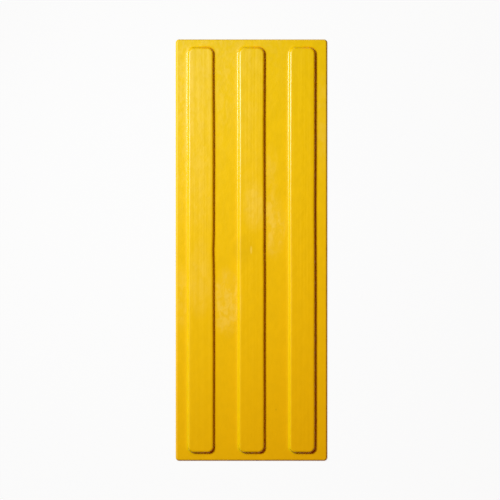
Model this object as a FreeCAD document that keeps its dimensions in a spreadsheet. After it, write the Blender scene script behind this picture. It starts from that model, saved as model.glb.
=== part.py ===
# Tactile paving slab, moulded in one piece from yellow polyurethane.
#
# The slab is a thin flat rectangle that is glued to the floor. Its top carries three long
# flat-topped bars, which a cane or a foot follows in the direction of travel. The bars have
# sloping flanks on all four sides, rounded corners, a soft edge at the crown and a concave
# blend where they grow out of the slab. Slabs laid side by side keep the same bar spacing.
#
# Frame: millimetres, +Z up, +Y along the bars, origin at the middle of the flat underside.

import FreeCAD, Part
import math
import os
import Sketcher

# Driving dimensions: alias, value (mm, degrees or a count), what it is.
SIZES = [
    ("slab_length", 500.0, "along the bars"),
    ("slab_width", 180.0, "across the bars"),
    ("slab_thickness", 3.0, "floor of the slab between the bars"),
    ("slab_corner_radius", 4.0, "the slab's four corners in plan"),
    ("wall_draft", 18.0, "degrees that the outer wall leans in, so that no foot catches on it"),
    ("rim_radius", 2.0, "rounding of the slab's upper outer edge"),
    ("bar_count", 3, "bars across the slab's width"),
    ("bar_height", 4.0, "crown of a bar above the slab's floor"),
    ("bar_foot_width", 31.6, "across the foot of a bar, before the blend"),
    ("bar_crown_width", 29.0, "across the flat crown of a bar, before its edge is rounded"),
    ("bar_foot_corner_radius", 7.8, "a bar's corners in plan, at the foot"),
    ("bar_end_margin", 9.7, "from the end of the slab to the foot of a bar"),
    ("crown_radius", 2.2, "rounding of a bar's upper edge"),
    ("foot_radius", 2.2, "concave blend from a bar's flank into the slab"),
]

# The bars share the slab's width equally, so the spacing runs on across the joint to the next slab.
BAR_PITCH = "Sizes.slab_width / Sizes.bar_count"
BAR_FOOT_LENGTH = "Sizes.slab_length - 2 * Sizes.bar_end_margin"
FLANK_ANGLE = "atan((Sizes.bar_foot_width - Sizes.bar_crown_width) / 2 / Sizes.bar_height)"

HEIGHT_MATCH = 0.001  # mm, how near an edge's height has to be to the one asked for

# The sketcher's numbers for the points of a line or an arc, and for the sketch's own origin.
START, END, CENTRE = 1, 2, 3
SKETCH_ORIGIN = (-1, 1)
UP = FreeCAD.Vector(0, 0, 1)

# Half width, half length and corner radius (mm) that a rounded rectangle is first drawn with.
# Its constraints then give it its true size.
DRAWN = (15.0, 30.0, 5.0)


def make_sheet(doc):
    """The spreadsheet of driving dimensions, one named cell for each."""
    sheet = doc.addObject("Spreadsheet::Sheet", "Sizes")
    for row, (alias, value, meaning) in enumerate(SIZES, start=1):
        sheet.set(f"A{row}", alias)
        sheet.set(f"B{row}", str(value))
        sheet.setAlias(f"B{row}", alias)
        sheet.set(f"C{row}", meaning)
    doc.recompute()
    return sheet


def origin_feature(body, role):
    """One of the body's own origin planes or axes."""
    return next(f for f in body.Origin.OriginFeatures if f.Role == role)


def rounded_rectangle(body, name, width, length, radius):
    """A sketch on the body's XY plane: a rectangle centred on the sketch's origin, with its
    corners rounded. Width (along X), length (along Y) and radius are expressions."""
    sketch = body.newObject("Sketcher::SketchObject", name)
    sketch.AttachmentSupport = [(origin_feature(body, "XY_Plane"), "")]
    sketch.MapMode = "FlatFace"

    half_x, half_y, corner = DRAWN
    inner_x, inner_y = half_x - corner, half_y - corner

    def point(x, y):
        return FreeCAD.Vector(x, y, 0)

    sides = [
        Part.LineSegment(point(-inner_x, -half_y), point(inner_x, -half_y)),
        Part.LineSegment(point(half_x, -inner_y), point(half_x, inner_y)),
        Part.LineSegment(point(inner_x, half_y), point(-inner_x, half_y)),
        Part.LineSegment(point(-half_x, inner_y), point(-half_x, -inner_y)),
    ]
    centres = [
        point(inner_x, -inner_y),
        point(inner_x, inner_y),
        point(-inner_x, inner_y),
        point(-inner_x, -inner_y),
    ]
    bottom, right, top, left = (sketch.addGeometry(side) for side in sides)
    arcs = []
    for quarter, centre in enumerate(centres):
        start = (quarter - 1) * math.pi / 2
        circle = Part.Circle(centre, UP, corner)
        arcs.append(sketch.addGeometry(Part.ArcOfCircle(circle, start, start + math.pi / 2)))

    def constrain(*terms):
        return sketch.addConstraint(Sketcher.Constraint(*terms))

    lines = [bottom, right, top, left]
    for index, arc in enumerate(arcs):
        following = lines[(index + 1) % len(lines)]
        constrain("Tangent", lines[index], END, arc, START)
        constrain("Tangent", arc, END, following, START)
    for arc in arcs[1:]:
        constrain("Equal", arcs[0], arc)
    constrain("Horizontal", bottom)
    constrain("Vertical", right)
    constrain("Horizontal", top)
    constrain("Vertical", left)
    constrain("Symmetric", arcs[0], CENTRE, arcs[2], CENTRE, *SKETCH_ORIGIN)

    across = constrain("DistanceX", left, END, right, START, 2 * half_x)
    along = constrain("DistanceY", bottom, START, top, END, 2 * half_y)
    rounding = constrain("Radius", arcs[0], corner)
    for index, label, expression in (
        (across, "width", width),
        (along, "length", length),
        (rounding, "corner_radius", radius),
    ):
        sketch.renameConstraint(index, label)
        sketch.setExpression(f"Constraints.{label}", expression)
    return sketch


def pad(body, name, sketch, length, taper):
    """The sketch raised along +Z by an expression's length, its walls leaning in by taper."""
    feature = body.newObject("PartDesign::Pad", name)
    feature.Profile = sketch
    feature.setExpression("Length", length)
    feature.setExpression("TaperAngle", f"-({taper})")
    body.Document.recompute()
    return feature


def edges_at(shape, height):
    """Name and box of each of the shape's edges that lies level at a height."""
    return [
        (f"Edge{index}", edge.BoundBox)
        for index, edge in enumerate(shape.Edges, start=1)
        if abs(edge.BoundBox.ZMin - height) < HEIGHT_MATCH
        and abs(edge.BoundBox.ZMax - height) < HEIGHT_MATCH
    ]


def split_outline(edges):
    """Sorts level edges into the outermost ones, which make the slab's outline, and the rest."""
    reach_x = max(box.XMax for _, box in edges)
    reach_y = max(box.YMax for _, box in edges)
    outer, inner = [], []
    for name, box in edges:
        at_side = max(box.XMax, -box.XMin) > reach_x - HEIGHT_MATCH
        at_end = max(box.YMax, -box.YMin) > reach_y - HEIGHT_MATCH
        (outer if at_side or at_end else inner).append(name)
    return outer, inner


def fillet(body, name, edges, radius):
    """Rounds edges of the body as it stands, to the radius that an expression gives."""
    base = body.Tip
    feature = body.newObject("PartDesign::Fillet", name)
    feature.Base = (base, edges)
    feature.setExpression("Radius", radius)
    body.Tip = feature
    body.Document.recompute()
    return feature


def make_slab(doc, sheet):
    """The whole slab as one body: the flat plate, its bars, then the rounded edges."""
    body = doc.addObject("PartDesign::Body", "TactileSlab")
    body.Label = "tactile_slab"

    outline = rounded_rectangle(
        body, "SlabOutline", "Sizes.slab_width", "Sizes.slab_length", "Sizes.slab_corner_radius"
    )
    pad(body, "Plate", outline, "Sizes.slab_thickness", "Sizes.wall_draft * 1 deg")

    # The first bar stands half a pitch in from the left edge; the pattern adds the others.
    foot = rounded_rectangle(
        body, "BarFoot", "Sizes.bar_foot_width", BAR_FOOT_LENGTH, "Sizes.bar_foot_corner_radius"
    )
    foot.setExpression("AttachmentOffset.Base.x", f"({BAR_PITCH} - Sizes.slab_width) / 2")
    foot.setExpression("AttachmentOffset.Base.z", "Sizes.slab_thickness")
    bar = pad(body, "FirstBar", foot, "Sizes.bar_height", FLANK_ANGLE)

    bars = body.newObject("PartDesign::LinearPattern", "Bars")
    bars.Originals = [bar]
    bars.Direction = (origin_feature(body, "X_Axis"), [""])
    bars.Mode = "Spacing"
    bars.setExpression("Offset", BAR_PITCH)
    bars.setExpression("Occurrences", "Sizes.bar_count")
    body.Tip = bars
    doc.recompute()

    floor = float(sheet.slab_thickness)
    crown = floor + float(sheet.bar_height)
    crown_edges = [name for name, _ in edges_at(body.Shape, crown)]
    fillet(body, "SoftCrowns", crown_edges, "Sizes.crown_radius")
    _, foot_edges = split_outline(edges_at(body.Shape, floor))
    fillet(body, "BlendedFeet", foot_edges, "Sizes.foot_radius")
    rim_edges, _ = split_outline(edges_at(body.Shape, floor))
    fillet(body, "SoftRim", rim_edges, "Sizes.rim_radius")
    return body


def check(doc, parts):
    """Stops the build if any feature failed or a part is not one sound solid."""
    for item in doc.Objects:
        if "Invalid" in item.State or "Error" in item.State:
            raise RuntimeError(f"{item.Name} did not build: {item.State}")
    for part in parts:
        shape = part.Shape
        if shape.isNull() or not shape.isValid() or len(shape.Solids) != 1:
            raise RuntimeError(f"{part.Label} is not one valid solid")


doc = FreeCAD.newDocument("TactileSlab")
sheet = make_sheet(doc)
parts = [make_slab(doc, sheet)]
doc.recompute()
check(doc, parts)

os.makedirs("parts", exist_ok=True)
for part in parts:
    part.Shape.exportStep(os.path.join("parts", f"{part.Label}.step"))
    box = part.Shape.optimalBoundingBox()
    print(f"{part.Label}: {box.XLength:.2f} x {box.YLength:.2f} x {box.ZLength:.2f} mm,")
    print(f"  {part.Shape.Volume / 1000:.1f} cm3, {len(part.Shape.Faces)} faces")
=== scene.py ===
# %% [markdown]
# A tactile paving slab, dressed for the camera.
# The real slab is moulded in one piece from yellow polyurethane and glued to the floor, with three
# long flat-topped bars that a foot or a cane can follow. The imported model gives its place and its
# size in metres. It could be shown as it is with a better material, but its edges are ideal ones.
# A new mesh on the same box leaves room for the slight waves and dents that a soft moulding has.

# %% Load the frame
import math

import bmesh
import bpy
from mathutils import Matrix, Vector, noise


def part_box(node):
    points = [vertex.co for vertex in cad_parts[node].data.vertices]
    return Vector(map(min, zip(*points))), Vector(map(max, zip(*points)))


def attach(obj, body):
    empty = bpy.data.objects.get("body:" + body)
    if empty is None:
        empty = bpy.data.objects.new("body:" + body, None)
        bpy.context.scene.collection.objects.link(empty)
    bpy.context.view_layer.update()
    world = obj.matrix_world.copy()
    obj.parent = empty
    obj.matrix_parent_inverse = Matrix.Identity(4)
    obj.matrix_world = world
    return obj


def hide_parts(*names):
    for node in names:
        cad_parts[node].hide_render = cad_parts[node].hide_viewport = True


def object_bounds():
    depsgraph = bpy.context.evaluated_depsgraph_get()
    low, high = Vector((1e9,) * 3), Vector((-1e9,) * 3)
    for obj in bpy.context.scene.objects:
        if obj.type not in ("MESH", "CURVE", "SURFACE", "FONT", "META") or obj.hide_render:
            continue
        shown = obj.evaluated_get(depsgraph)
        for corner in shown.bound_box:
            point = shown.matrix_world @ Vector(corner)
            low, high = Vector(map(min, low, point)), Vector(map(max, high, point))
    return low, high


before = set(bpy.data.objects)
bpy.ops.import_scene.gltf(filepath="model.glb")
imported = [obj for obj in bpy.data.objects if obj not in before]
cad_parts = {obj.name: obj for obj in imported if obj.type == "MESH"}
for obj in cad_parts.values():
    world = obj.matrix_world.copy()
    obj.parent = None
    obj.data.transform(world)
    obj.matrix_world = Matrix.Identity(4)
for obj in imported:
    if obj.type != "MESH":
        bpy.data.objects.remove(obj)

cad_low, cad_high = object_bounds()
print("CAD box:", tuple(cad_low), tuple(cad_high))

# %% [markdown]
# The slab's length, width and height come from the frame. How many bars share its width, and the
# heights and slopes inside the box, are repeated here from the model's own sizes, because the
# frame holds only the finished surface.

# %% Sizes of the slab
MM = 0.001
NEAR = 1e-6  # metres, closer than this is the same place

slab_low, slab_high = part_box("tactile_slab")
slab_size = slab_high - slab_low
FLOOR_HEIGHT = 3.0 * MM
CORNER_RADIUS = 4.0 * MM
WALL_DRAFT = math.radians(18)
RIM_RADIUS = 2.0 * MM
BAR_COUNT = 3
BAR_FOOT_WIDTH = 31.6 * MM
BAR_CROWN_WIDTH = 29.0 * MM
BAR_FOOT_CORNER = 7.8 * MM
BAR_END_MARGIN = 9.7 * MM

floor_z = slab_low.z + FLOOR_HEIGHT
BAR_HEIGHT = slab_size.z - FLOOR_HEIGHT
BAR_FOOT_LENGTH = slab_size.y - 2 * BAR_END_MARGIN
FLANK_SLOPE = math.atan2(BAR_HEIGHT, (BAR_FOOT_WIDTH - BAR_CROWN_WIDTH) / 2)
BAR_PITCH = slab_size.x / BAR_COUNT
bar_centres = [slab_low.x + BAR_PITCH * (i + 0.5) for i in range(BAR_COUNT)]
print(f"slab {slab_size.x:.3f} x {slab_size.y:.3f} m, bars {BAR_PITCH / MM:.1f} mm apart")
print(f"flanks slope {math.degrees(FLANK_SLOPE):.1f} degrees")

# %% [markdown]
# Every raised form on the slab is a rounded rectangle that draws in as it goes up. One way is to
# extrude a block and bevel its edges, but a bevel around a tight corner bunches up. Here each form
# starts as one flat face, and repeated insets, each a little inward and a little upward, follow the
# section of the real edge: hollow blend, straight flank, rounded crown.

# %% A flat rounded rectangle
CORNER_SEGMENTS = 10


def rounded_face(bm, centre, width, length, radius):
    """One level face with rounded corners, centred on a point and facing up."""
    place = Matrix.Translation(centre) @ Matrix.Diagonal((width, length, 1, 1))
    made = bmesh.ops.create_grid(bm, x_segments=1, y_segments=1, size=0.5, matrix=place)
    rounded = bmesh.ops.bevel(
        bm,
        geom=made["verts"],
        offset=radius,
        segments=CORNER_SEGMENTS,
        profile=0.5,
        affect="VERTICES",
        material=-1,
    )
    face = rounded["verts"][0].link_faces[0]
    if face.normal.z < 0:
        bmesh.ops.reverse_faces(bm, faces=[face])
    return face


# %% The section of an edge, as inward and upward steps
def bend(radius, slope_from, slope_to, steps):
    """The steps round an arc whose slope goes from one angle to another."""
    turn = 1 if slope_to > slope_from else -1
    moves = []
    for i in range(steps):
        a = slope_from + (slope_to - slope_from) * i / steps
        b = slope_from + (slope_to - slope_from) * (i + 1) / steps
        inward = radius * (math.sin(b) - math.sin(a)) * turn
        upward = radius * (math.cos(a) - math.cos(b)) * turn
        moves.append((inward, upward))
    return moves


def flank(slope, height):
    """One straight step up a slope."""
    return [(height / math.tan(slope), height)]


def raise_face(bm, face, moves):
    """Insets a face again and again, so that it climbs the given section."""
    for inward, upward in moves:
        bmesh.ops.inset_region(
            bm,
            faces=[face],
            thickness=inward,
            depth=upward,
            use_boundary=True,
            use_even_offset=True,
        )
    return face


# %% [markdown]
# The slab's outer wall leans in and its upper edge is rounded, so that no foot catches on it. A
# bevel on a plain box would do nearly the same, but the inset steps keep to the model's own draft
# and radius. They start from the underside's outline. The level face that ends up on top is taken
# away again, because the floor between the bars is filled in later, and the underside is closed.

# %% The outer wall and rim
RIM_STEPS = 5

wall_slope = math.pi / 2 - WALL_DRAFT
rim_rise = RIM_RADIUS * (1 - math.cos(wall_slope))
wall = flank(wall_slope, FLOOR_HEIGHT - rim_rise) + bend(RIM_RADIUS, wall_slope, 0, RIM_STEPS)
rim_reach = sum(inward for inward, _ in wall)

bm = bmesh.new()
underside = rounded_face(bm, (0, 0, slab_low.z), slab_size.x, slab_size.y, CORNER_RADIUS)
top = raise_face(bm, underside, wall)
bmesh.ops.delete(bm, geom=[top], context="FACES_ONLY")
open_bottom = [e for e in bm.edges if e.is_boundary and e.verts[0].co.z < slab_low.z + NEAR]
bmesh.ops.holes_fill(bm, edges=open_bottom, sides=0)
print(f"wall and rim: {len(bm.faces)} faces, rim reaches in {rim_reach / MM:.2f} mm")

# %% [markdown]
# The real bars have no sharp line where the flank begins. The floor swells up gently for a few
# millimetres before the steep part, and the crown rolls off in the same way. Each end of the
# section therefore has a wide soft arc and a tight one. The middle of the flank keeps the model's
# place, so the outline on the floor lies outside it by what the lower half of the section reaches.

# %% The bars' section
TOE_RADIUS = 18.0 * MM
SHOULDER_RADIUS = 12.0 * MM
SOFT_SLOPE = math.radians(9)
TIGHT_RADIUS = 1.7 * MM
SOFT_STEPS = 4
TIGHT_STEPS = 6

toe = bend(TOE_RADIUS, 0, SOFT_SLOPE, SOFT_STEPS)
toe += bend(TIGHT_RADIUS, SOFT_SLOPE, FLANK_SLOPE, TIGHT_STEPS)
shoulder = bend(TIGHT_RADIUS, FLANK_SLOPE, SOFT_SLOPE, TIGHT_STEPS)
shoulder += bend(SHOULDER_RADIUS, SOFT_SLOPE, 0, SOFT_STEPS)
steep_height = BAR_HEIGHT - sum(upward for _, upward in toe + shoulder)
steep = flank(FLANK_SLOPE, steep_height)
toe_reach = sum(inward for inward, _ in toe) + steep[0][0] / 2
print(f"toe reaches {toe_reach / MM:.2f} mm, steep part {steep_height / MM:.2f} mm high")

# %% The bars
outset = toe_reach - (BAR_FOOT_WIDTH - BAR_CROWN_WIDTH) / 4
for centre in bar_centres:
    foot = rounded_face(
        bm,
        (centre, 0, floor_z),
        BAR_FOOT_WIDTH + 2 * outset,
        BAR_FOOT_LENGTH + 2 * outset,
        BAR_FOOT_CORNER + outset,
    )
    crown = raise_face(bm, foot, toe + steep + shoulder)
print(f"bar crown at {crown.calc_center_median().z / MM:.3f} mm")

# %% [markdown]
# The floor is one flat sheet with three holes, which a mesh face can't have. Cutting the sheet
# through the middle of each bar gives strips with no holes, and each strip is then one face.

# %% Cut the bars and the rim in two
def cut(bm, place, direction):
    """Splits every face that a plane crosses."""
    whole = [*bm.verts, *bm.edges, *bm.faces]
    bmesh.ops.bisect_plane(bm, geom=whole, dist=NEAR, plane_co=place, plane_no=direction)


for centre in bar_centres:
    cut(bm, (centre, 0, 0), (1, 0, 0))
open_edges = [e for e in bm.edges if e.is_boundary and abs(e.verts[0].co.z - floor_z) < NEAR]
print("open edges round the floor:", len(open_edges))

# %% The floor between the bars
open_corners = {v for e in open_edges for v in e.verts}
for centre in bar_centres:
    for side in (-1, 1):
        on_cut = [v for v in open_corners if abs(v.co.x - centre) < NEAR and v.co.y * side > 0]
        made = bmesh.ops.contextual_create(bm, geom=on_cut)
        open_edges += made["edges"]

strip_sides = [slab_low.x, *bar_centres, slab_high.x]
for low, high in zip(strip_sides, strip_sides[1:]):
    middles = [(e, (e.verts[0].co.x + e.verts[1].co.x) / 2) for e in open_edges]
    loop = [e for e, middle in middles if low - NEAR < middle < high + NEAR]
    bmesh.ops.edgeloop_fill(bm, edges=loop)
print("closed:", all(e.is_manifold for e in bm.edges))

# %% [markdown]
# A long flat face can't follow a wave, so the whole slab is cut across and along by evenly spaced
# planes, like a ruler's marks.

# %% Rule the slab into short pieces
ALONG_STEP = 4.0 * MM
ACROSS_STEP = 3.0 * MM


def marks(low, high, step):
    """Evenly spaced places between two ends, about a step apart."""
    count = max(1, round((high - low) / step))
    return [low + (high - low) * i / count for i in range(1, count)]


for y in marks(slab_low.y, slab_high.y, ALONG_STEP):
    cut(bm, (0, y, 0), (0, 1, 0))
for x in marks(slab_low.x, slab_high.x, ACROSS_STEP):
    cut(bm, (x, 0, 0), (1, 0, 0))
print("ruled:", len(bm.faces), "faces")

# %% [markdown]
# Soft plastic shrinks a little unevenly as it cools. The bars' edges wander by up to 0.3 mm and
# are drawn in further at a few places, most of all at the middle of the first bar's right edge.
# A displacement along the normals would lift the flat faces too. Moving the mesh sideways, and
# only where an edge runs, keeps the floor and the crowns flat.

# %% How far an edge is drawn in
WANDER = 0.28 * MM
WANDER_LENGTH = 90.0 * MM
NEXT_BAR, NEXT_SIDE = 3.7, 1.9  # steps through the noise, so that no two edges wave alike

# Bar, side (-1 left, 1 right), place along the slab, half length and depth of each pull (mm).
PULLS = [
    (0, 1, 0, 16, 0.6),
    (0, 1, 215, 45, 0.45),
    (2, 1, 65, 50, 0.1),
    (1, 1, 150, 60, 0.25),
    (1, 1, 2, 12, 0.2),
]


def pull_at(bar, side, y):
    """How far a bar's edge is drawn in at a place along it."""
    place = Vector((bar * NEXT_BAR, side * NEXT_SIDE, y / WANDER_LENGTH))
    total = WANDER * noise.noise(place)
    for pull_bar, pull_side, middle, half_length, depth in PULLS:
        if (pull_bar, pull_side) == (bar, side):
            total += depth * MM * math.exp(-(((y / MM - middle) / half_length) ** 2))
    return total


# %% Waves and dents in the bars' edges
EDGE_BAND = 9.0 * MM  # how far to each side of an edge the mesh moves with it

edge_offset = (BAR_FOOT_WIDTH + BAR_CROWN_WIDTH) / 4
largest = 0.0
for v in bm.verts:
    if v.co.z < floor_z - NEAR:
        continue
    shift = 0.0
    for bar, centre in enumerate(bar_centres):
        for side in (-1, 1):
            away = (v.co.x - centre - side * edge_offset) / EDGE_BAND
            if abs(away) < 1:
                shift -= side * pull_at(bar, side, v.co.y) * (1 - away**2) ** 2
    v.co.x += shift
    largest = max(largest, abs(shift))
print(f"largest shift: {largest / MM:.2f} mm")

# %% [markdown]
# The slab is one closed moulding, so its mesh is shaded smooth all over, and only the underside's
# edge stays sharp. Smooth shading alone would bend the light on the flats next to a steep flank.
# Custom normals could be set by hand, but the Weighted Normal modifier does it: large faces win.

# %% Finish the mesh
SHARP_ANGLE = math.radians(30)

bmesh.ops.recalc_face_normals(bm, faces=bm.faces)
for face in bm.faces:
    face.smooth = True
for edge in bm.edges:
    edge.smooth = edge.calc_face_angle(0) < SHARP_ANGLE

mesh = bpy.data.meshes.new("slab")
bm.to_mesh(mesh)
bm.free()
slab = bpy.data.objects.new("slab", mesh)
bpy.context.collection.objects.link(slab)
level = slab.modifiers.new("FlatFacesStayFlat", "WEIGHTED_NORMAL")
level.keep_sharp = True
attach(slab, "root")
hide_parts("tactile_slab")
mesh.calc_loop_triangles()
print("slab:", len(mesh.loop_triangles), "triangles")

# %% [markdown]
# Shader maths reads best as sums. A socket is wrapped in a small class, so that an expression on
# wrapped values adds the Math nodes by itself. The nodes could be placed and linked one by one, but
# a formula of ten terms would then take forty lines.

# %% Sums with sockets
class Value:
    """A number that varies over a surface."""

    def __init__(self, finish, socket):
        self.finish, self.socket = finish, socket

    def maths(self, operation, first, second):
        """One Math node."""
        made = self.finish.node("ShaderNodeMath", {"operation": operation}, {0: first, 1: second})
        return Value(self.finish, made.outputs[0])

    def __add__(self, other):
        return self.maths("ADD", self, other)

    def __sub__(self, other):
        return self.maths("SUBTRACT", self, other)

    def __rsub__(self, other):
        return self.maths("SUBTRACT", other, self)

    def __mul__(self, other):
        return self.maths("MULTIPLY", self, other)

    __radd__ = __add__
    __rmul__ = __mul__

    def fraction(self):
        """What is left of the number above the whole number below it."""
        return self.maths("FRACT", self, 0.0)

    def between(self, low, high):
        """Low where this value is 0, going over to high where it is 1."""
        return self * (high - low) + low


# %% A material being written
# A Mix node's colour sockets go by number, because its other sockets have the same names.
MIX_FIRST, MIX_SECOND, MIX_RESULT = 6, 7, 2


class Finish:
    """One material and the nodes added to it."""

    def __init__(self, name):
        self.material = bpy.data.materials.new(name)
        self.material.use_nodes = True
        self.tree = self.material.node_tree
        self.surface = self.tree.nodes["Principled BSDF"]

    def plug(self, socket, value):
        """Sets a socket to a number or colour, or links it to a Value or another socket."""
        if isinstance(value, Value):
            value = value.socket
        if isinstance(value, bpy.types.NodeSocket):
            self.tree.links.new(value, socket)
        else:
            socket.default_value = value

    def set(self, name, value):
        """Sets or links one input of the surface's own shader."""
        self.plug(self.surface.inputs[name], value)

    def node(self, kind, settings, sockets):
        """Adds a node: its settings first, then its sockets' values or links."""
        made = self.tree.nodes.new(kind)
        for name, value in settings.items():
            setattr(made, name, value)
        for name, value in sockets.items():
            self.plug(made.inputs[name], value)
        return made

    def place(self, scale):
        """The surface's own coordinates, stretched by a scale for each axis."""
        place = self.node("ShaderNodeTexCoord", {}, {})
        scaled = {"Vector": place.outputs["Object"], "Scale": scale}
        return self.node("ShaderNodeMapping", {}, scaled).outputs["Vector"]

    def noise(self, scale, **sockets):
        """Smooth noise between 0 and 1, with one blob to about 1 / scale metres."""
        sockets = {"Vector": self.place(scale), "Scale": 1.0, **sockets}
        return Value(self, self.node("ShaderNodeTexNoise", {}, sockets).outputs["Fac"])

    def ramp(self, value, low, high):
        """0 at low, 1 at high and smooth between, whichever of the two is larger."""
        settings = {"interpolation_type": "SMOOTHSTEP"}
        sockets = {"Value": value, "From Min": low, "From Max": high}
        return Value(self, self.node("ShaderNodeMapRange", settings, sockets).outputs["Result"])

    def mix(self, factor, first, second):
        """The first colour where the factor is 0, going over to the second where it is 1."""
        sockets = {"Factor": factor, MIX_FIRST: first, MIX_SECOND: second}
        return self.node("ShaderNodeMix", {"data_type": "RGBA"}, sockets).outputs[MIX_RESULT]


# %% [markdown]
# The polyurethane is coloured right through and has a satin skin that copies the mould. An image of
# the real surface would bring its light along, so the skin is built up from Object coordinates.
# First come the values that say where on the slab a place is: on a crown, on the floor, on a left
# or right flank or on the outer wall, and how far towards the upper left end, where the skin is
# duller and its colour carries a painted sheen.

# %% Where the skin changes
FLAT_START, FLAT_FULL = 0.25 * MM, 0.05 * MM  # off a flat's level: its first trace, all of it
WALL_START, WALL_FULL = 0.01 * MM, 0.12 * MM  # the same for the outer wall, below the floor
HALF_BLEND = 0.08  # of the bars' pitch, to each side of a bar's middle

polymer = Finish("moulded_polymer")
parts = polymer.node("ShaderNodeSeparateXYZ", {}, {"Vector": polymer.place((1, 1, 1))}).outputs
across, along, height = (Value(polymer, parts[axis]) for axis in "XYZ")
crowns = polymer.ramp(height, slab_high.z - FLAT_START, slab_high.z - FLAT_FULL)
floors = polymer.ramp(height, floor_z + FLAT_START, floor_z + FLAT_FULL)
flats = crowns + floors
flanks = 1 - flats
outer_wall = polymer.ramp(height, floor_z - WALL_START, floor_z - WALL_FULL)
over_bar = (across * (1 / BAR_PITCH) + 0.5).fraction()  # 0.5 at the middle of each bar
right_half = polymer.ramp(over_bar, 0.5 - HALF_BLEND, 0.5 + HALF_BLEND)

# %% Which end of the slab it is
# The lemon end is painted light: the flats grow lemon and lighter towards the lamp at the upper
# left.
PAINTED_LIT_END = (1.5, -1.275, 0.5)  # growth for each metre along and across, value at the middle
# The dull end lies towards the lamp's upper left: duller skin there, and a painted sheen in the
# colour.
DULL_SHEEN_END = (4.0, -5.5, -0.3)
LINED_FROM, LINED_TO = -0.2, 0.12  # metres along the slab
LEAST_LINED = 0.65  # share of the relief that is left at the smoother end


def slanting(along_growth, across_growth, middle):
    """A value that grows evenly over the slab."""
    return along * along_growth + across * across_growth + middle


painted_lit_end = slanting(*PAINTED_LIT_END)
dull_sheen_end = slanting(*DULL_SHEEN_END)
lined_end = polymer.ramp(along, LINED_FROM, LINED_TO).between(LEAST_LINED, 1.0)
print("where the skin changes:", len(polymer.tree.nodes), "nodes")

# %% [markdown]
# Most of what the eye sees on the real skin is gloss: smears where it is duller. Each is an ellipse
# at its place on the slab, broken up by wispy noise, and along the crowns by fine streaks too. One
# scuff shows as a short pale mark near the middle. Painting a mask would need an image.

# %% Spots on the skin
# Middle, half size and strength of each spot, in millimetres from the slab's middle.
SMEARS = [
    ((-58, 60), (16, 60), 0.4),
    ((-61, -35), (14, 42), 0.7),
    ((-83, -55), (10, 36), 0.5),
    ((-30, -62), (17, 36), 1.3),
    ((-2, 120), (14, 70), 0.3),
    ((4, 52), (14, 28), 0.9),
    ((23, 93), (9, 30), 0.5),
    ((27, 30), (13, 36), 1.2),
    ((84, 150), (8, 60), 0.6),
]
SCUFFS = [((-0.5, 0.2), (1.1, 4.5), 2.0)]
# The first is a darker spot that is painted shade where a shallow dent is, the second a speck of
# dirt.
STAINS_AND_DENT_SHADE = [((-9, 1), (13, 17), 0.07), ((29, -189), (0.9, 1.3), 0.12)]
SPOT_END = 1.6  # square of the distance, in half sizes, at which a spot has faded out


def spot(middle, half_size):
    """1 in the middle of an ellipse and 0 a little outside it."""
    off_x = (across - middle[0] * MM) * (1 / (half_size[0] * MM))
    off_y = (along - middle[1] * MM) * (1 / (half_size[1] * MM))
    return polymer.ramp(off_x * off_x + off_y * off_y, SPOT_END, 0.0)


def with_spots(value, spots):
    """A value with spots added, each with its own strength."""
    for middle, half_size, strength in spots:
        value = value + spot(middle, half_size) * strength
    return value


# %% Where the skin is dull
WISPS = {"scale": (150, 75, 150), "Detail": 5.0, "Roughness": 0.6, "Distortion": 1.0}
WISP_EDGE = (0.4, 0.62)  # noise that is just no wisp, and noise that is all wisp
STREAKS = {"scale": (330, 5, 330), "Detail": 0.7}
DULL_SHEEN_EDGE = (0.1, 1.0)  # where the dull end begins, and where it is dull all over

# Two shares each, on the floor and on a crown.
DULL_SHEEN_SHARE = (0.7, 1.0)  # of the dull end's dullness
OFF_WISP_SHARE = (0.2, 0.4)  # of a smear, between the wisps
ON_WISP_SHARE = (1.0, 0.8)  # of a smear, in the wisps
FLOOR_GAIN = 1.2  # of the smears on the floor, which has no streaks
STREAK_GAIN = (0.55, 1.85)  # of the smears on a crown, between the streaks and in them

wisps = polymer.ramp(polymer.noise(**WISPS), *WISP_EDGE)
streaks = polymer.noise(**STREAKS)
smears = polymer.ramp(dull_sheen_end, *DULL_SHEEN_EDGE) * crowns.between(*DULL_SHEEN_SHARE)
smears = with_spots(smears, SMEARS)
smears = smears * wisps.between(crowns.between(*OFF_WISP_SHARE), crowns.between(*ON_WISP_SHARE))
dull = smears * crowns.between(FLOOR_GAIN, streaks.between(*STREAK_GAIN))
dull = with_spots(dull, SCUFFS) * flats
print("with smears, streaks and a scuff:", len(polymer.tree.nodes), "nodes")

# %% [markdown]
# The flats go from a warm yellow to a lemon one that is lighter towards the lamp at the upper left,
# and that change is painted light. They have faint stains, one darker spot of painted shade where a
# shallow dent is, and in the dull places a paler yellow that is partly dust and partly painted
# sheen. The bars' left flanks, which face the lamp, are painted a lighter lemon as painted light,
# and the right ones a rustier yellow as painted shade. One flat yellow would be simpler, but the
# slab would then look like paper.

# %% The colour
# Warm yellow away from the lamp and a lighter lemon towards it, as painted light.
WARM_YELLOW = (0.825, 0.428, 0.0, 1)
LEMON_YELLOW = (0.775, 0.53, 0.0, 1)
# A pale yellow that is partly dust and partly painted sheen.
DUST_AND_SHEEN_YELLOW = (0.84, 0.57, 0.05, 1)
# The flanks are painted light and shade: a lighter lemon on the left, which faces the lamp, and a
# rustier yellow on the right, which is turned away.
PAINTED_LIT_FLANKS = (0.76, 0.485, 0.0, 1)
PAINTED_SHADED_FLANKS = (0.79, 0.42, 0.0, 1)
BLACK = (0, 0, 0, 1)
PATCHES = {"scale": (130, 80, 130), "Detail": 3.0}
PATCH_EDGE = (0.3, 0.7)
PATCH_STAIN = 0.05  # share of black in a patch
DUST_AND_SHEEN_SHARE = 0.2  # share of dust and painted sheen where the skin is dull

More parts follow.
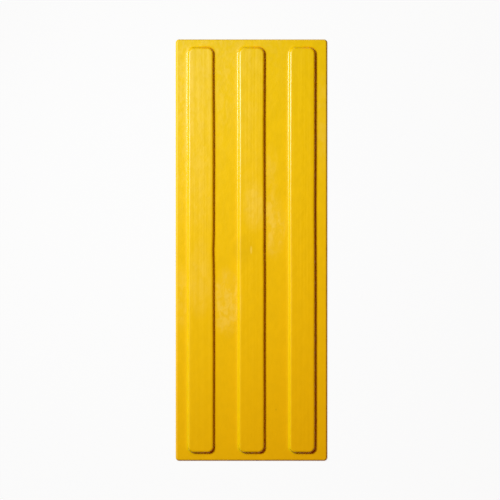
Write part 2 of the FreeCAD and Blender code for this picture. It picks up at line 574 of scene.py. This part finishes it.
patches = polymer.ramp(polymer.noise(**PATCHES), *PATCH_EDGE)
stains_and_shade = with_spots(patches * lined_end * PATCH_STAIN, STAINS_AND_DENT_SHADE)
# Painted light on the flats: lemon and lighter towards the lamp's upper left.
flats_yellow = polymer.mix(painted_lit_end, WARM_YELLOW, LEMON_YELLOW)
# Painted light on the left flanks and painted shade on the right ones.
flanks_lit_and_shaded = polymer.mix(right_half, PAINTED_LIT_FLANKS, PAINTED_SHADED_FLANKS)
colour = polymer.mix(flanks, flats_yellow, flanks_lit_and_shaded)
# Darker in the stains, and at one spot a painted shade of a shallow dent.
colour = polymer.mix(stains_and_shade, colour, BLACK)
# Paler where the skin is dull: partly dust, partly painted sheen towards the lamp.
colour = polymer.mix(dull * DUST_AND_SHEEN_SHARE, colour, DUST_AND_SHEEN_YELLOW)
polymer.set("Base Color", colour)
print("with colour:", len(polymer.tree.nodes), "nodes")

# %% [markdown]
# The flanks are the glossiest part. The outer wall is the dullest, because no bright line runs
# along it. A slight relief follows the streaks along the crowns, with a soft mottle on all the
# flats and a fine grain everywhere. A mesh could hold it, but it is only a few hundredths of a
# millimetre deep and too fine for that, so a Bump node tilts the light instead.

# %% Gloss and relief
FLANK_ROUGHNESS = 0.26
FLAT_ROUGHER = 0.025  # more than on the flanks, and the same for the next two
DULL_ROUGHER = 0.22
WALL_ROUGHER = 0.45
REFRACTION = 1.48
MOTTLE = {"scale": (220, 150, 220), "Detail": 1.0}
GRAIN = {"scale": (900, 900, 900), "Detail": 1.0}
RELIEF_UNIT = 0.1 * MM
STREAK_RELIEF = 1.9
MOTTLE_RELIEF = 1.4
GRAIN_RELIEF = 0.2

roughness = FLANK_ROUGHNESS + flats * FLAT_ROUGHER + dull * DULL_ROUGHER
polymer.set("Roughness", roughness + outer_wall * WALL_ROUGHER)
polymer.set("IOR", REFRACTION)
relief = streaks * crowns * STREAK_RELIEF + polymer.noise(**MOTTLE) * flats * MOTTLE_RELIEF
relief = (relief + polymer.noise(**GRAIN) * GRAIN_RELIEF) * lined_end
bumped = {"Height": relief, "Distance": RELIEF_UNIT, "Strength": 1.0}
polymer.set("Normal", polymer.node("ShaderNodeBump", {}, bumped).outputs["Normal"])
slab.data.materials.append(polymer.material)
print("moulded polymer:", len(polymer.tree.nodes), "nodes")

# %% [markdown]
# The slab lies on a plain pale floor that curves up into a low round wall far away, so that a view
# from the side meets no horizon. A flat plane would end in one. The wall is left low, because a
# high one would shine in the gloss of the crowns.

# %% The floor and its far wall
FLOOR_REACH = 12.0
FLOOR_SEGMENTS = 96
FLOOR_GAP = 0.02 * MM  # below the underside, which would flicker through
FAR_WALL_BEND = 1.0
FAR_WALL_SLOPE = math.radians(85)
FAR_WALL_STEPS = 8
FAR_WALL_RISE = 0.5

bm = bmesh.new()
bmesh.ops.create_circle(bm, cap_ends=True, segments=FLOOR_SEGMENTS, radius=FLOOR_REACH)
edge = [e for e in bm.edges if e.is_boundary]
reach = FLOOR_REACH
far_wall = bend(FAR_WALL_BEND, 0, FAR_WALL_SLOPE, FAR_WALL_STEPS)
for outward, upward in far_wall + flank(FAR_WALL_SLOPE, FAR_WALL_RISE):
    made = bmesh.ops.extrude_edge_only(bm, edges=edge)["geom"]
    edge = [e for e in made if isinstance(e, bmesh.types.BMEdge) and e.is_boundary]
    ring = [v for v in made if isinstance(v, bmesh.types.BMVert)]
    growth = (reach + outward) / reach
    bmesh.ops.scale(bm, vec=(growth, growth, 1), verts=ring)
    bmesh.ops.translate(bm, vec=(0, 0, upward), verts=ring)
    reach += outward
bmesh.ops.recalc_face_normals(bm, faces=bm.faces)
bm.faces.ensure_lookup_table()
if bm.faces[0].normal.z < 0:
    bmesh.ops.reverse_faces(bm, faces=bm.faces)
for face in bm.faces:
    face.smooth = True
floor_mesh = bpy.data.meshes.new("floor")
bm.to_mesh(floor_mesh)
bm.free()
floor = bpy.data.objects.new("floor", floor_mesh)
floor.location.z = cad_low.z - FLOOR_GAP
bpy.context.collection.objects.link(floor)
print(f"floor: {len(floor_mesh.polygons)} faces, {reach:.1f} m from its middle to its rim")

# %% [markdown]
# The floor is a mid grey to the light that bounces off it, and nearly white to the camera and in
# reflections. A white floor would do that alone, but it would throw a lot of light back on the
# slab. The small share that isn't glow keeps the slab's soft shadow.

# %% The floor's finish
FLOOR_GREY = (0.6, 0.6, 0.6, 1)
FLOOR_ROUGHNESS = 0.9
FLOOR_GLOW = 0.92  # share of the floor's look that is its own white
WHITE = (1, 1, 1, 1)

pale = Finish("pale_floor")
pale.set("Base Color", FLOOR_GREY)
pale.set("Roughness", FLOOR_ROUGHNESS)
rays = pale.node("ShaderNodeLightPath", {}, {})
kinds = ("Is Camera Ray", "Is Glossy Ray", "Is Transmission Ray")
camera_ray, glossy_ray, transmission_ray = (Value(pale, rays.outputs[kind]) for kind in kinds)
seen = camera_ray + glossy_ray + transmission_ray
glow = pale.node("ShaderNodeEmission", {}, {"Color": WHITE, "Strength": 1.0})
shaders = {0: seen * FLOOR_GLOW, 1: pale.surface.outputs[0], 2: glow.outputs[0]}
both = pale.node("ShaderNodeMixShader", {}, shaders)
pale.plug(pale.tree.nodes["Material Output"].inputs["Surface"], both.outputs[0])
floor_mesh.materials.append(pale.material)
print("pale floor:", len(pale.tree.nodes), "nodes")

# %% [markdown]
# One soft lamp stands near the slab, up and to the left, and is aimed past it, so that the light
# falls off from the upper left to the lower right. A sun would light both ends alike. The lamp's
# power is worked out from how bright a white surface at the slab's middle should look.

# %% The lamp
LAMP_PLACE = Vector((-0.55, 0.32, 0.76))
LAMP_AIM = Vector((0.89, -0.45, 0.09))
LAMP_WIDTH = 0.29
LAMP_HEIGHT = 0.41
LAMP_LEVEL = 1.055  # 1 is white
LAMP_COLOUR = (0.9, 1.0, 1.0)

lamp_data = bpy.data.lights.new("key", "AREA")
lamp_data.shape = "RECTANGLE"
lamp_data.size = LAMP_WIDTH
lamp_data.size_y = LAMP_HEIGHT
lamp_data.color = LAMP_COLOUR
facing = LAMP_AIM.normalized().dot(-LAMP_PLACE.normalized())
falling = LAMP_PLACE.normalized().z
lamp_data.energy = LAMP_LEVEL * math.pi**2 * LAMP_PLACE.length**2 / (facing * falling)
lamp = bpy.data.objects.new("key", lamp_data)
lamp.location = LAMP_PLACE
lamp.rotation_euler = LAMP_AIM.to_track_quat("-Z", "Y").to_euler()
bpy.context.collection.objects.link(lamp)
print(f"lamp: {lamp_data.energy:.1f} W")

# %% [markdown]
# A little warm light, like that of a room round the table, reaches the flanks that are turned away
# from the lamp and keeps them a rusty brown. A second lamp could do that, but it would shine in
# the gloss, and a plain colour all round does not.

# %% The room
ROOM_LEVEL = 0.15
ROOM_COLOUR = (1.0, 0.12, 0.0, 1)

world = bpy.data.worlds.new("room")
world.use_nodes = True
bpy.context.scene.world = world
room = world.node_tree.nodes["Background"]
room.inputs["Color"].default_value = ROOM_COLOUR
room.inputs["Strength"].default_value = ROOM_LEVEL
print("room level:", ROOM_LEVEL)

# %% [markdown]
# The camera looks straight down from well above, so that the slab's sides stay parallel. An
# orthographic camera would do here too, but views from the side look more natural through a lens.
# The focal length is worked out from how many pixels long the slab is in the picture.

# %% The camera
IMAGE_SIZE = 500  # pixels, the frame is square
SLAB_PIXELS = 422.0  # the slab's length in the picture
SLAB_MIDDLE = (251.55, 250.13)  # the slab's middle in the picture
CAMERA_HEIGHT = 2.0
SENSOR = 36.0

pixel = slab_size.y / SLAB_PIXELS
camera_data = bpy.data.cameras.new("camera")
camera_data.sensor_width = SENSOR
camera_data.lens = SENSOR * (CAMERA_HEIGHT - FLOOR_HEIGHT) / (IMAGE_SIZE * pixel)
camera = bpy.data.objects.new("camera", camera_data)
camera.location = (
    (IMAGE_SIZE / 2 - SLAB_MIDDLE[0]) * pixel,
    (SLAB_MIDDLE[1] - IMAGE_SIZE / 2) * pixel,
    CAMERA_HEIGHT,
)
bpy.context.collection.objects.link(camera)
bpy.context.scene.camera = camera
bpy.context.scene.view_settings.view_transform = "Standard"
print(f"lens: {camera_data.lens:.1f} mm")
